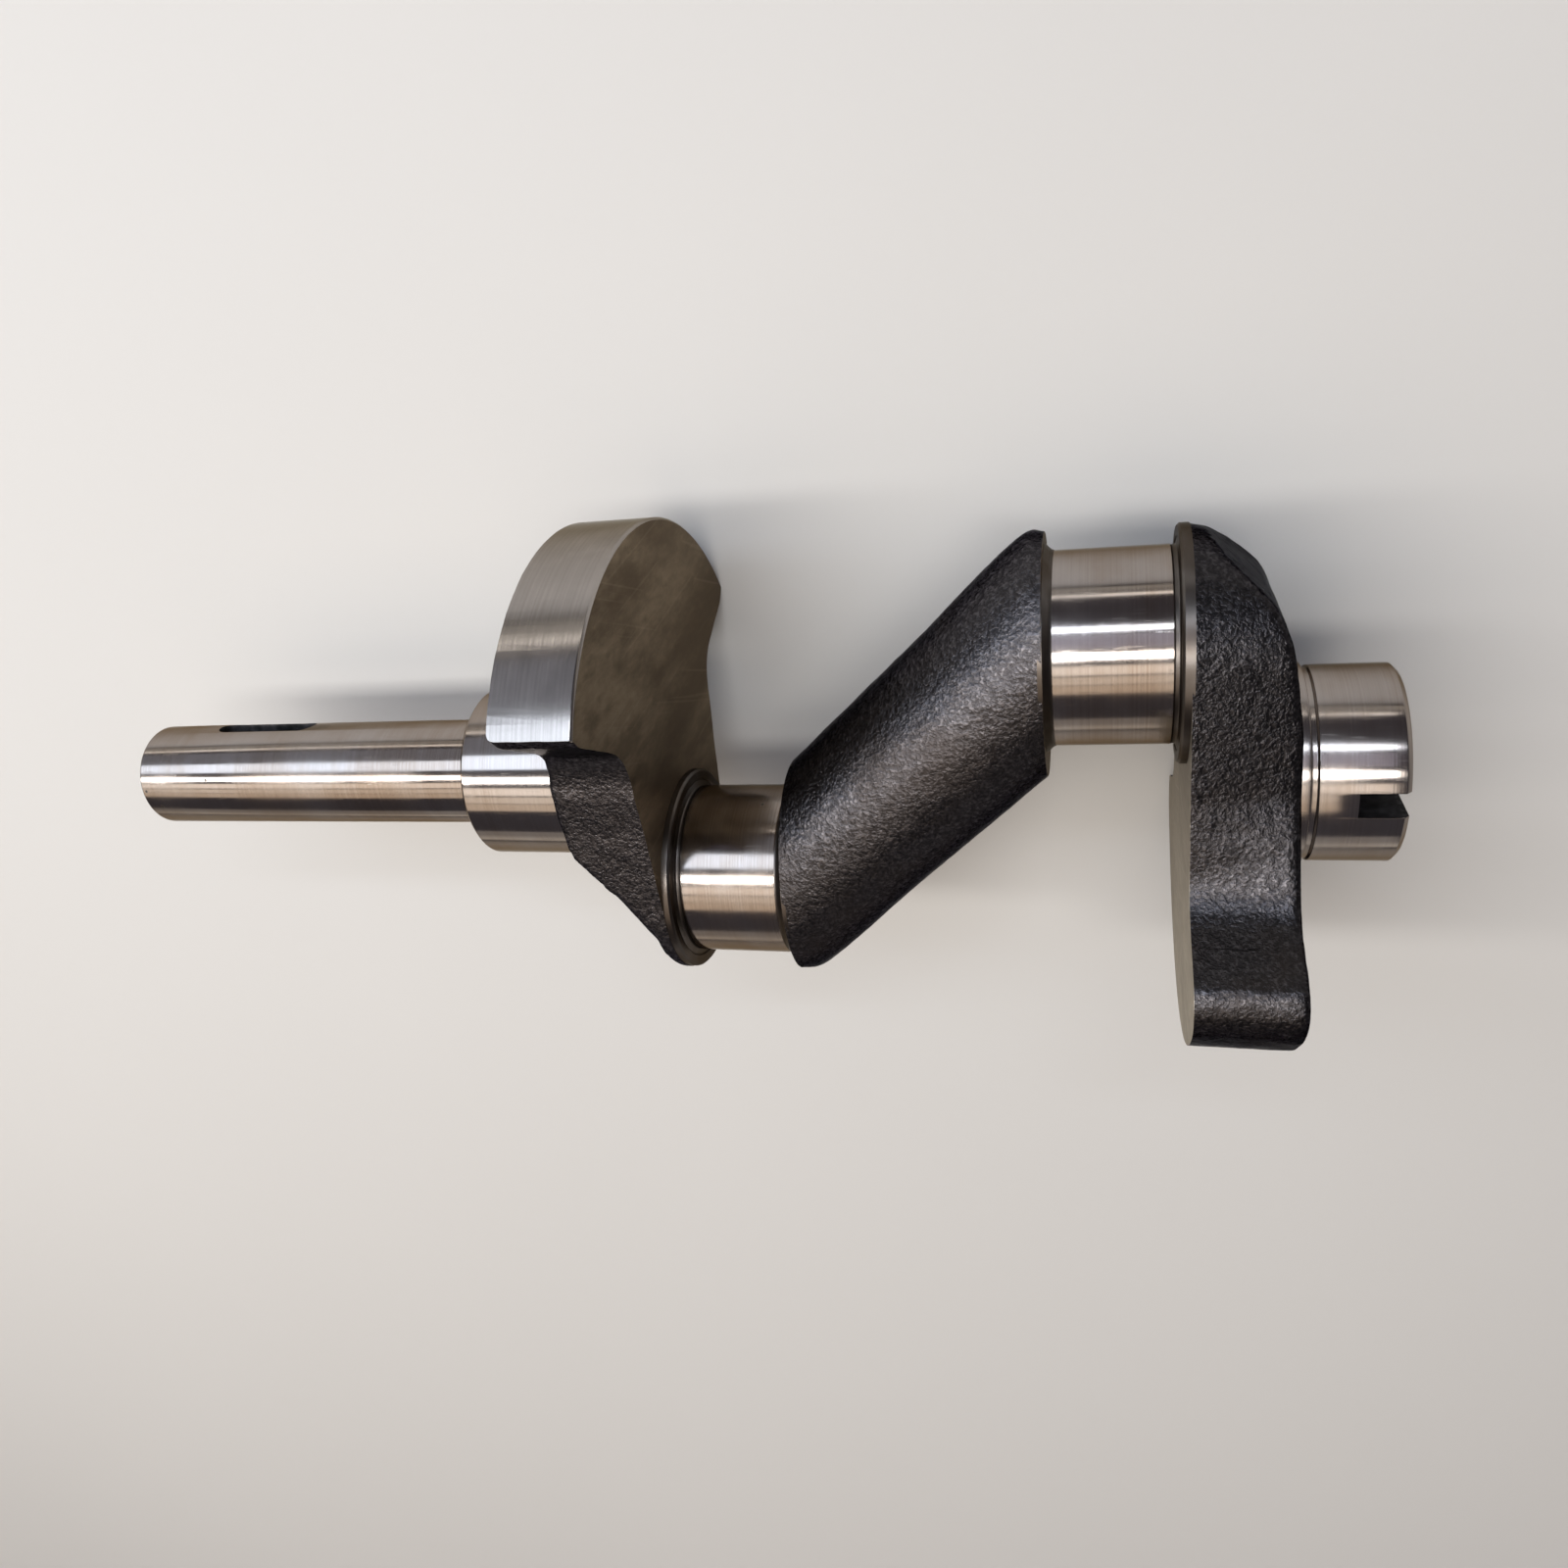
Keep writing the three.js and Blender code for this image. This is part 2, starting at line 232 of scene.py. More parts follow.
class Finish:
    """A material being made: nodes come from one method, and settle() joins them to the shader."""

    def __init__(self, name, **constants):
        self.material = bpy.data.materials.new(name)
        self.material.use_nodes = True
        self.tree = self.material.node_tree
        self.shader = next(n for n in self.tree.nodes if n.type == "BSDF_PRINCIPLED")
        for socket, value in constants.items():
            self.shader.inputs[socket.replace("_", " ").title()].default_value = value
        self.place = self.node("ShaderNodeTexCoord", "Object")

    def put(self, slot, value):
        if isinstance(value, Signal):
            self.tree.links.new(value.socket, slot)
        else:
            slot.default_value = value

    def node(self, kind, output=0, settings=None, inputs=None):
        made = self.tree.nodes.new(kind)
        for name, value in (settings or {}).items():
            setattr(made, name, value)
        for name, value in (inputs or {}).items():
            self.put(made.inputs[name], value)
        return Signal(self, made.outputs[output])

    def math(self, operation, *terms):
        return self.node("ShaderNodeMath", settings={"operation": operation},
                         inputs=dict(enumerate(terms)))

    def axis(self, letter):
        return self.node("ShaderNodeSeparateXYZ", letter, inputs={0: self.place})

    def noise(self, scale, detail=2.0, rough=0.5, vector=None):
        return self.node("ShaderNodeTexNoise", "Fac", inputs={
            "Vector": vector or self.place, "Scale": scale, "Detail": detail, "Roughness": rough,
        })

    def streaks(self, along, scale, detail=3.0):
        """Noise that changes only with one value."""
        return self.node("ShaderNodeTexNoise", "Fac", {"noise_dimensions": "1D"}, {
            "W": along, "Scale": scale, "Detail": detail,
        })

    def step(self, value, low, high, to_low=0.0, to_high=1.0):
        return self.node("ShaderNodeMapRange", 0, {"interpolation_type": "SMOOTHSTEP"}, {
            "Value": value, "From Min": low, "From Max": high, "To Min": to_low, "To Max": to_high,
        })

    def blend(self, factor, first, second):
        return self.node("ShaderNodeMix", 2, {"data_type": "RGBA"}, {0: factor, 6: first, 7: second})

    def settle(self, colour, roughness, height=None, distance=0.1 * MM, strength=1.0):
        self.put(self.shader.inputs["Base Color"], colour)
        self.put(self.shader.inputs["Roughness"], roughness)
        if height is not None:
            bump = self.node("ShaderNodeBump", 0, None, {
                "Height": height, "Distance": distance, "Strength": strength,
            })
            self.put(self.shader.inputs["Normal"], bump)
        return self.material


def opaque(colour, factor=1.0):
    return (*(channel * factor for channel in colour), 1.0)


# ---------------------------------------------------------------------------------------------
# Finishes


def ground_steel(name, colours):
    """Ground bearing steel: rings round the axis, a warm film, light scratches and dark specks."""
    steel = Finish(name, metallic=1.0, specular_tint=(0.42, 0.36, 0.29, 1.0))
    along = steel.axis("X")
    rings = steel.streaks(along, 2600)
    broad_rings = steel.streaks(along, 420)
    film = steel.step(steel.noise(34, 5.0, 0.6) + (broad_rings - 0.5) * 0.12, 0.36, 0.68)
    smear = steel.noise(26, 5.0, 0.62)
    scratch = 0.0
    for turn, scale in ((12, 120), (-31, 90), (80, 110)):
        across = steel.node("ShaderNodeMapping", 0, None, {
            "Vector": steel.place, "Rotation": (math.radians(turn), 0, math.radians(turn)),
            "Scale": (1.0, 14.0, 14.0)})
        scratch = scratch + steel.step(steel.noise(scale, 1.0, 0.5, across), 0.72, 0.75)
    specks = 1 - steel.step(steel.node("ShaderNodeTexVoronoi", "Distance", None, {
        "Vector": steel.place, "Scale": 170, "Randomness": 1.0}), 0.06, 0.10)
    spot = specks * steel.step(steel.noise(60, 1.0), 0.50, 0.60)
    base = steel.blend(film, opaque(colours.steel), opaque(colours.film))
    base = steel.blend(steel.step(rings, 0.3, 0.75, 0.0, 0.25), base, opaque(colours.steel, 1.35))
    base = steel.blend(spot * 0.8, base, opaque(colours.cast, 0.3))
    rough = 0.09 + steel.step(smear, 0.40, 0.68, 0.0, 0.10) + rings * 0.03 + scratch * 0.06 + spot * 0.3
    height = rings * 0.65 + broad_rings * 0.35 - scratch * 0.3 - spot * 0.8
    return steel.settle(base, rough, height, 0.006 * MM, 0.6)


def painted_shade_recess(name, colours):
    """The inside of a slot or keyway: painted shade, near-black and mottled, over cutter marks in the bump.
    """
    recess = Finish(name, metallic=0.6, specular_tint=(0.3, 0.3, 0.3, 1.0))
    recess_mottle = recess.noise(240, 4.0, 0.6)
    marks = recess.streaks(recess.axis("X"), 1400)
    # Painted shade: the recess colour is the cast colour cut to between 0.16 and 0.8 of it.
    base = recess.blend(recess.step(recess_mottle, 0.35, 0.68), opaque(colours.cast, 0.16), opaque(colours.cast, 0.8))
    return recess.settle(base, 0.45 + recess_mottle * 0.2, marks * 0.6 + recess_mottle * 0.4, 0.02 * MM, 0.7)


def turned_rim(name, colours):
    """The counterweight's rim: satin, with turning lines round the axis and slow banding."""
    rim = Finish(name, metallic=1.0, specular_tint=(0.42, 0.38, 0.31, 1.0))
    lines = rim.streaks(rim.axis("X"), 1500, 4.0)
    cloud = rim.noise(60, 4.0, 0.6)
    grit = rim.noise(1600, 2.0)
    base = rim.blend(rim.step(cloud, 0.35, 0.7), opaque(colours.rim, 0.92), opaque(colours.rim, 1.15))
    base = rim.blend(rim.step(lines, 0.3, 0.7, 0.0, 0.4), base, opaque(colours.rim, 0.72))
    rough = 0.15 + cloud * 0.07 + (lines - 0.5) * 0.07
    return rim.settle(base, rough, lines * 0.7 + grit * 0.3, 0.02 * MM, 0.6)


def milled_face(name, colours, pin_y, tone=(1.0, 1.0, 1.0), stains=1.0):
    """The web's flat face: brown-grey, with smears across it, faint scratches, a darkening close round the
    pin and painted shade towards the bottom.

    The tone multiplies its colours, and a tone above one is a painted highlight; stains is the share of the
    mottling that shows.
    """
    face = Finish(name, metallic=0.8, specular_tint=(0.6, 0.54, 0.46, 1.0))
    light = [channel * share for channel, share in zip(colours.milled, tone)]
    dark = [channel * share for channel, share in zip(colours.milled_dark, tone)]
    off, depth = face.axis("Y") - pin_y, face.axis("Z")
    # Darker close round the pin, fading out from 23 mm to 44 mm.
    near_pin_dark = face.step((off * off + depth * depth) ** 0.5, 23 * MM, 44 * MM, 0.5, 0.0)
    smeared = face.node("ShaderNodeMapping", 0, None, {"Vector": face.place, "Scale": (1.0, 1.0, 0.4)})
    mottle = face.noise(46, 7.0, 0.62, smeared)
    stain = face.step(face.noise(95, 4.0, 0.55, smeared), 0.52, 0.66)
    tooth = face.noise(520, 4.0, 0.65, smeared)
    grit = face.noise(1500, 3.0)
    scratch = 0.0
    for turn, scale, offset in ((7, 900, 0.1), (-21, 1100, 0.7)):
        across = face.node("ShaderNodeMapping", 0, {"vector_type": "TEXTURE"}, {
            "Vector": face.place, "Location": (offset, 0, 0),
            "Rotation": (math.radians(turn), 0, 0), "Scale": (1.0, 1.0, 40.0)})
        scratch = scratch + face.step(face.noise(scale, 0.0, 0.5, across), 0.74, 0.80)
    base = face.blend(face.step(mottle, 0.38, 0.62, stains, 0.0), opaque(light), opaque(dark))
    base = face.blend(stain * 0.55 * stains, base, opaque(dark, 0.8))
    base = face.blend(near_pin_dark, base, opaque(dark, 0.7))
    # Painted shade: the face darkens towards the bottom, from z = 30 mm down to z = -50 mm, away from the
    # lights above.
    base = face.blend(face.step(depth, -50 * MM, 30 * MM, 0.45, 0.0), base, opaque(dark, 0.8))
    base = face.blend(face.step(tooth, 0.35, 0.65, 0.0, 0.25), base, opaque(dark, 0.7))
    base = face.blend(grit * 0.2, base, opaque(dark, 0.7))
    base = face.blend(scratch * 0.05, base, opaque(light, 1.5))
    rough = 0.40 + face.step(mottle, 0.3, 0.7, 0.0, 0.12) - scratch * 0.05
    return face.settle(base, rough, grit * 0.5 + mottle * 0.5, 0.03 * MM, 0.5)


def thrust_face(name, colours, pin_y):
    """A ring turned about the crankpin with circular tool marks, its steel darkened as painted shade."""
    ring = Finish(name, metallic=1.0, specular_tint=(0.4, 0.38, 0.35, 1.0))
    off, depth = ring.axis("Y") - pin_y, ring.axis("Z")
    radius = (off * off + depth * depth) ** 0.5
    marks = ring.streaks(radius, 2200)
    cloud = ring.noise(90, 3.0)
    # Painted shade: the ring's colour is the film and steel colours cut to 0.32 and 0.42 of them.
    base = ring.blend(ring.step(cloud, 0.35, 0.7), opaque(colours.film, 0.32), opaque(colours.steel, 0.42))
    base = ring.blend(marks * 0.4, base, opaque(colours.steel, 0.2))
    return ring.settle(base, 0.26 + marks * 0.14, marks, 0.015 * MM, 0.6)


def cast_skin(name, colours, tone=1.0):
    """As-cast iron: near-black orange peel, darker colour between the grains and a dense painted glint
    speckle on them.

    The tone multiplies the colour of the grains; each web's tone is painted light and shade, so one casting
    is lighter or darker piece by piece.
    """
    skin = Finish(name, metallic=1.0, specular_tint=(0.22, 0.22, 0.24, 1.0))
    drift = skin.node("ShaderNodeTexNoise", "Color", None, {"Vector": skin.place, "Scale": 700, "Detail": 2})
    push = skin.node("ShaderNodeVectorMath", 0, {"operation": "SCALE"}, {0: drift, 3: 0.0009})
    bent = skin.node("ShaderNodeVectorMath", 0, {"operation": "ADD"}, {0: skin.place, 1: push})
    grains = 1 - skin.node("ShaderNodeTexVoronoi", "Distance", {"feature": "SMOOTH_F1"}, {
        "Vector": bent, "Scale": 720, "Smoothness": 0.45, "Randomness": 1.0})
    lumps = skin.noise(380, 2.0, 0.5)
    glint_speckle = skin.step(skin.noise(1500, 2.0, 0.6), 0.40, 0.62)
    sheen = skin.noise(90, 3.0, 0.6)
    dust = skin.step(skin.noise(38, 5.0, 0.65), 0.46, 0.72)
    # Painted glints: the speckle lifts the grains' colour in fine bright flecks; the same speckle also adds
    # small bumps.
    base = skin.blend(glint_speckle, opaque(colours.cast, 0.72 * tone), opaque(colours.cast, 1.5 * tone))
    # Darker colour between the grains.
    base = skin.blend(skin.step(grains, 0.35, 0.75, 0.55, 0.0), base, opaque(colours.cast, 0.5 * tone))
    base = skin.blend(dust * 0.35, base, (0.052, 0.040, 0.032, 1.0))
    rough = 0.24 + sheen * 0.10 + dust * 0.10
    height = grains * 0.60 + lumps * 0.60 + glint_speckle * 0.30
    return skin.settle(base, rough, height, 0.17 * MM, 1.0)


# ---------------------------------------------------------------------------------------------
# Shapes


def to_object(shape, name, materials):
    """Closes a bmesh into an object at the origin, with its normals out and its doubles merged."""
    bmesh.ops.remove_doubles(shape, verts=shape.verts, dist=0.002 * MM)
    bmesh.ops.dissolve_degenerate(shape, edges=shape.edges, dist=0.001 * MM)
    bmesh.ops.recalc_face_normals(shape, faces=shape.faces)
    mesh = bpy.data.meshes.new(name)
    shape.to_mesh(mesh)
    shape.free()
    piece = bpy.data.objects.new(name, mesh)
    bpy.context.scene.collection.objects.link(piece)
    for material in materials:
        mesh.materials.append(material)
    return piece


def smooth(piece, angle=math.radians(28)):
    mesh = piece.data
    for face in mesh.polygons:
        face.use_smooth = True
    mesh.set_sharp_from_angle(angle=angle)
    return piece


def settle_modifiers(piece):
    """Puts what a piece's modifiers make of its mesh in the mesh's place."""
    graph = bpy.context.evaluated_depsgraph_get()
    graph.update()
    made = bpy.data.meshes.new_from_object(piece.evaluated_get(graph))
    old = piece.data
    piece.modifiers.clear()
    piece.data = made
    made.name = piece.name
    bpy.data.meshes.remove(old)


def cut(piece, cutter, operation="DIFFERENCE"):
    tool = piece.modifiers.new("cut", "BOOLEAN")
    tool.operation = operation
    tool.solver = "EXACT"
    tool.object = cutter
    bpy.context.view_layer.update()
    settle_modifiers(piece)
    bpy.data.objects.remove(cutter)


def place(piece, node):
    """The piece stands for its CAD node: it rides on the only body, and the node's own mesh is hidden."""
    nodes = (node,) if isinstance(node, str) else node
    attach(piece, BODY)
    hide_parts(*nodes)


def rounded(points, steps=5):
    """An outline of (x, r, corner radius) points, with each corner made an arc that touches its sides."""
    out = []
    for i, (x, r, radius) in enumerate(points):
        here = Vector((x, r))
        if radius <= 0 or i in (0, len(points) - 1):
            out.append(here)
            continue
        before = Vector(points[i - 1][:2]) - here
        after = Vector(points[i + 1][:2]) - here
        half = before.angle(after) / 2
        reach = min(radius / math.tan(half), before.length * 0.49, after.length * 0.49)
        real = reach * math.tan(half)
        start = here + before.normalized() * reach
        middle = here + (before.normalized() + after.normalized()).normalized() * real / math.sin(half)
        first = start - middle
        turn = first.angle_signed(here + after.normalized() * reach - middle)
        for k in range(steps + 1):
            spin = Matrix.Rotation(-turn * k / steps, 2)
            out.append(middle + spin @ first)
    return out


def turned(name, outline, materials, centre_y=0.0):
    """A piece spun about a line along X through centre_y, from an (x, r) outline."""
    sides = bpy.context.scene.crank_sizes.turned_sides
    shape = bmesh.new()
    corners = [shape.verts.new((x, centre_y, r)) for x, r in outline]
    edges = [shape.edges.new(pair) for pair in zip(corners, corners[1:])]
    bmesh.ops.spin(shape, geom=corners + edges, cent=(0, centre_y, 0), axis=(1, 0, 0),
                   angle=2 * math.pi, steps=sides, use_merge=True)
    return to_object(shape, name, materials)


def box_cutter(low, high):
    shape = bmesh.new()
    bmesh.ops.create_cube(shape, size=1.0)
    size = Vector(high) - Vector(low)
    bmesh.ops.scale(shape, vec=size, verts=shape.verts)
    bmesh.ops.translate(shape, vec=(Vector(high) + Vector(low)) / 2, verts=shape.verts)
    return to_object(shape, "cutter", [])


def break_edges(piece, width, angle=math.radians(50)):
    """A narrow bevel on every sharp edge, as a file or a stone leaves it."""
    edge = piece.modifiers.new("edge", "BEVEL")
    edge.width = width
    edge.segments = 2
    edge.limit_method = "ANGLE"
    edge.angle_limit = angle
    edge.use_clamp_overlap = True
    bpy.context.view_layer.update()
    settle_modifiers(piece)


# ---------------------------------------------------------------------------------------------
# Castings


def curve_point(start, pull, end, t):
    """The point at t on a quadratic curve."""
    return (1 - t) ** 2 * start + 2 * t * (1 - t) * pull + t * t * end


def web_outline(corner, steps=10):
    """Half of the outer webs' outline, from the middle of the rim to the end of the crankpin's lobe.

    It is (y, z) with the counterweight on +Y; corner is the radius where the rim meets the flank.
    """
    lobe = 24.2 * MM
    end = math.radians(59)
    turn = corner / RIM_RADIUS
    tip = RIM_RADIUS * Vector((math.cos(end), math.sin(end)))
    points = [RIM_RADIUS * Vector((math.cos(a), math.sin(a)))
              for a in ((end - turn) * i / (2 * steps) for i in range(2 * steps + 1))]
    before = points[-1]
    heel = Vector((26.8, 47.6)) * MM
    after = tip + (heel - tip).normalized() * corner
    points += [curve_point(before, tip, after, i / steps) for i in range(1, steps + 1)]
    if corner < 2 * MM:
        points.append(heel)
    neck = Vector((19.6, 34.3)) * MM
    hollow = Vector((16.0, 27.6)) * MM
    waist = Vector((6.0, 27.8)) * MM
    points += [curve_point(neck, hollow, waist, i / steps) for i in range(steps + 1)]
    points.append(Vector((-3.0, 26.4)) * MM)
    for i in range(2 * steps + 1):
        a = math.pi / 2 * (1 + i / (2 * steps))
        points.append(Vector((-THROW + lobe * math.cos(a), lobe * math.sin(a))))
    return points


def web_blank(inner, outer, back, corners, edge_round, draft=0.0):
    """A plate over the web's outline, from x = inner to x = outer, whose back follows back(y).

    The corners are the radii at the two ends of the rim, the one on +Z first. The draft is the slope
    by which the lobe and neck narrow towards the back.
    """
    upper, lower = (web_outline(corner) for corner in corners)
    loop = upper + [Vector((y, -z)) for y, z in reversed(lower[1:-1])]
    shape = bmesh.new()
    face = shape.faces.new([shape.verts.new((inner, y, z)) for y, z in loop])
    pushed = bmesh.ops.extrude_face_region(shape, geom=[face])
    far = [v for v in pushed["geom"] if isinstance(v, bmesh.types.BMVert)]
    bmesh.ops.translate(shape, vec=(outer - inner, 0, 0), verts=far)
    rows = 26
    low, high = min(v.co.y for v in far), 15 * MM
    for i in range(1, rows):
        y = low + (high - low) * i / rows
        bmesh.ops.bisect_plane(shape, geom=shape.verts[:] + shape.edges[:] + shape.faces[:],
                               plane_co=(0, y, 0), plane_no=(0, 1, 0))
    outermost = [v for v in shape.verts if abs(v.co.x - outer) < ON_PLANE]
    neck_top, neck_fade = 12 * MM, 15 * MM
    for v in outermost:
        v.co.x = back(v.co.y)
        out = Vector((0, min(0, v.co.y + THROW), v.co.z))
        share = min(1.0, max(0.0, (neck_top - v.co.y) / neck_fade))
        v.co -= out.normalized() * draft * share * abs(v.co.x - inner)
    kept = set(outermost)
    rim_edges = [e for e in shape.edges
                 if e.verts[0] in kept and e.verts[1] in kept and len(e.link_faces) == 2
                 and any(not all(v in kept for v in f.verts) for f in e.link_faces)]
    bmesh.ops.bevel(shape, geom=rim_edges, offset=edge_round, affect="EDGES", segments=4,
                    profile=0.5, material=-1, clamp_overlap=True)
    return shape


def between(y, table):
    """The value at y of a line through the (y, value) points of a table, in order of y."""
    if y <= table[0][0]:
        return table[0][1]
    for (y0, v0), (y1, v1) in zip(table, table[1:]):
        if y <= y1:
            return v0 + (v1 - v0) * (y - y0) / (y1 - y0)
    return table[-1][1]


def add_taper(shape, *ends):
    """Adds the rounded wedge between two discs square to the axis, each (x, radius, y of centre)."""
    wedge = bmesh.new()
    for x, radius, y in ends:
        turn = Matrix.Rotation(math.pi / 2, 4, "Y")
        bmesh.ops.create_circle(wedge, radius=radius, segments=72,
                                matrix=Matrix.Translation((x, y, 0)) @ turn)
    bmesh.ops.convex_hull(wedge, input=wedge.verts)
    bmesh.ops.recalc_face_normals(wedge, faces=wedge.faces)
    mesh = bpy.data.meshes.new("wedge")
    wedge.to_mesh(mesh)
    wedge.free()
    shape.from_mesh(mesh)
    bpy.data.meshes.remove(mesh)


def as_cast(shape, name, materials, sizes):
    """Rounds a casting's edges on a voxel grid and gives its skin a slow unevenness."""
    piece = to_object(shape, name, materials)
    grid = piece.modifiers.new("grid", "REMESH")
    grid.mode = "VOXEL"
    grid.voxel_size = sizes.cast_voxel
    soften = piece.modifiers.new("soften", "SMOOTH")
    soften.factor = 0.5
    soften.iterations = sizes.cast_round
    bpy.context.view_layer.update()
    settle_modifiers(piece)
    shape = bmesh.new()
    shape.from_mesh(piece.data)
    shape.normal_update()
    for v in shape.verts:
        swell = noise.fractal(v.co / (5 * MM), 1.0, 2.0, 3)
        v.co += v.normal * swell * sizes.cast_swell
    shape.to_mesh(piece.data)
    shape.free()
    return piece


def part_at(piece, name, height, keep_above):
    """A copy of the piece on one side of the plane y = height, capped."""
    shape = bmesh.new()
    shape.from_mesh(piece.data)
    sliced = bmesh.ops.bisect_plane(
        shape, geom=shape.verts[:] + shape.edges[:] + shape.faces[:],
        plane_co=(0, height, 0), plane_no=(0, 1, 0), dist=0.001 * MM,
        clear_inner=keep_above, clear_outer=not keep_above)
    rim = [e for e in sliced["geom_cut"] if isinstance(e, bmesh.types.BMEdge)]
    capped = bmesh.ops.holes_fill(shape, edges=rim, sides=0)
    bmesh.ops.triangulate(shape, faces=capped["faces"])
    materials = list(piece.data.materials)
    mesh = bpy.data.meshes.new(name)
    shape.to_mesh(mesh)
    shape.free()
    part = bpy.data.objects.new(name, mesh)
    bpy.context.scene.collection.objects.link(part)
    for material in materials:
        mesh.materials.append(material)
    return part


def paint_faces(piece, choose):
    """Gives each face the material whose place choose(centre, normal) names."""
    for face in piece.data.polygons:
        face.material_index = choose(face.center, face.normal)


# ---------------------------------------------------------------------------------------------
# Pieces


class CRANK_OT_output_shaft(bpy.types.Operator):
    """The 25.4 mm output shaft with its chamfer, lathe centre and round-ended keyway"""

    bl_idname = "crank.output_shaft"
    bl_label = "Output shaft"

    def execute(self, context):
        sizes = context.scene.crank_sizes
        steel = ground_steel("shaft_steel", context.scene.crank_colours)
        left, right = SHAFT_LOW.x, SHAFT_HIGH.x + 1 * MM
        centre = sizes.lathe_centre
        outline = rounded([
            (left + centre * 1.6, 0, 0),
            (left, centre, 0.15 * MM),
            (left, SHAFT_RADIUS - CHAMFER, 0.25 * MM),
            (left + CHAMFER, SHAFT_RADIUS, 0.35 * MM),
            (right, SHAFT_RADIUS, 0),
            (right, 0, 0),
        ], 4)
        recess = painted_shade_recess("keyway_painted_shade", context.scene.crank_colours)
        shaft = turned("output_shaft_piece", outline, [steel, recess])
        cut(shaft, self.keyway_cutter(sizes))
        break_edges(shaft, sizes.edge_break * 0.6)
        start = left + KEYWAY_START
        # The keyway's faces take the painted-shade recess material.
        paint_faces(shaft, lambda centre, normal: int(
            start - 1 * MM < centre.x < start + KEYWAY_LENGTH + 1 * MM
            and math.hypot(centre.y, centre.z) < SHAFT_RADIUS - 0.25 * MM))
        smooth(shaft)
        place(shaft, "output_shaft")
        return {"FINISHED"}

    def keyway_cutter(self, sizes):
        radius = sizes.keyway_width / 2
        start = SHAFT_LOW.x + KEYWAY_START + radius
        straight = KEYWAY_LENGTH - sizes.keyway_width
        floor = SHAFT_RADIUS - KEYWAY_DEPTH
        shape = bmesh.new()
        bmesh.ops.create_circle(shape, cap_ends=True, radius=radius, segments=46)
        far = [v for v in shape.verts if v.co.x > 0]
        bmesh.ops.translate(shape, vec=(straight, 0, 0), verts=far)
        up = bmesh.ops.extrude_face_region(shape, geom=shape.faces[:])
        top = [v for v in up["geom"] if isinstance(v, bmesh.types.BMVert)]
        bmesh.ops.translate(shape, vec=(0, 0, 8 * MM), verts=top)
        bmesh.ops.translate(shape, vec=(start, 0, floor), verts=shape.verts)
        turn = Matrix.Rotation(-math.pi / 2 - KEYWAY_TURN, 3, "X")
        bmesh.ops.rotate(shape, cent=(0, 0, 0), matrix=turn, verts=shape.verts)
        return to_object(shape, "cutter", [])


class CRANK_OT_main_journals(bpy.types.Operator):
    """The two ground main journals; the rear one has a collar, a relief groove and a drive slot"""

    bl_idname = "crank.main_journals"
    bl_label = "Main journals"

    def execute(self, context):
        sizes = context.scene.crank_sizes
        steel = ground_steel("journal_steel", context.scene.crank_colours)
        self.front(steel)
        self.rear(steel, painted_shade_recess("slot_painted_shade", context.scene.crank_colours), sizes)
        return {"FINISHED"}

    def front(self, steel):
        left, right = FRONT_LOW.x, FRONT_HIGH.x + 5 * MM
        bore = SHAFT_RADIUS - 0.5 * MM
        outline = rounded([
            (left + 2 * MM, 0, 0),
            (left + 2 * MM, bore, 0),
            (left, bore, 0),
            (left, JOURNAL_RADIUS - 0.7 * MM, 0.2 * MM),
            (left + 0.7 * MM, JOURNAL_RADIUS, 0.3 * MM),
            (right, JOURNAL_RADIUS, 0),
            (right, 0, 0),
        ], 4)
        journal = turned("front_main_journal_piece", outline, [steel])
        smooth(journal)
        place(journal, "front_main_journal")

    def rear(self, steel, recess, sizes):
        left, right = REAR_LOW.x, REAR_HIGH.x
        collar = left + COLLAR_WIDTH
        groove = JOURNAL_RADIUS - GROOVE_DEPTH
        outline = rounded([
            (left - 4 * MM, 0, 0),
            (left - 4 * MM, COLLAR_RADIUS, 0),
            (collar, COLLAR_RADIUS, 0.25 * MM),
            (collar, groove, 0.3 * MM),
            (collar + GROOVE_WIDTH, groove, 0.3 * MM),
            (collar + GROOVE_WIDTH + 0.4 * MM, JOURNAL_RADIUS, 0.2 * MM),
            (right - CHAMFER, JOURNAL_RADIUS, 0.35 * MM),
            (right, JOURNAL_RADIUS - CHAMFER, 0.25 * MM),
            (right, 0, 0),
        ], 4)
        journal = turned("rear_main_journal_piece", outline, [steel, recess])
        half = sizes.slot_width / 2
        reach = JOURNAL_RADIUS + 3 * MM
        floor = right - SLOT_DEPTH
        cut(journal, box_cutter((floor, -half, -reach), (right + 3 * MM, half, reach)))
        break_edges(journal, sizes.edge_break)
        # The slot's faces take the painted-shade recess material.
        paint_faces(journal, lambda centre, normal: int(
            abs(centre.y) < half + ON_PLANE and centre.x > floor - 0.1 * MM
            and math.hypot(centre.y, centre.z) < JOURNAL_RADIUS - 0.4 * MM))
        smooth(journal)
        place(journal, "rear_main_journal")


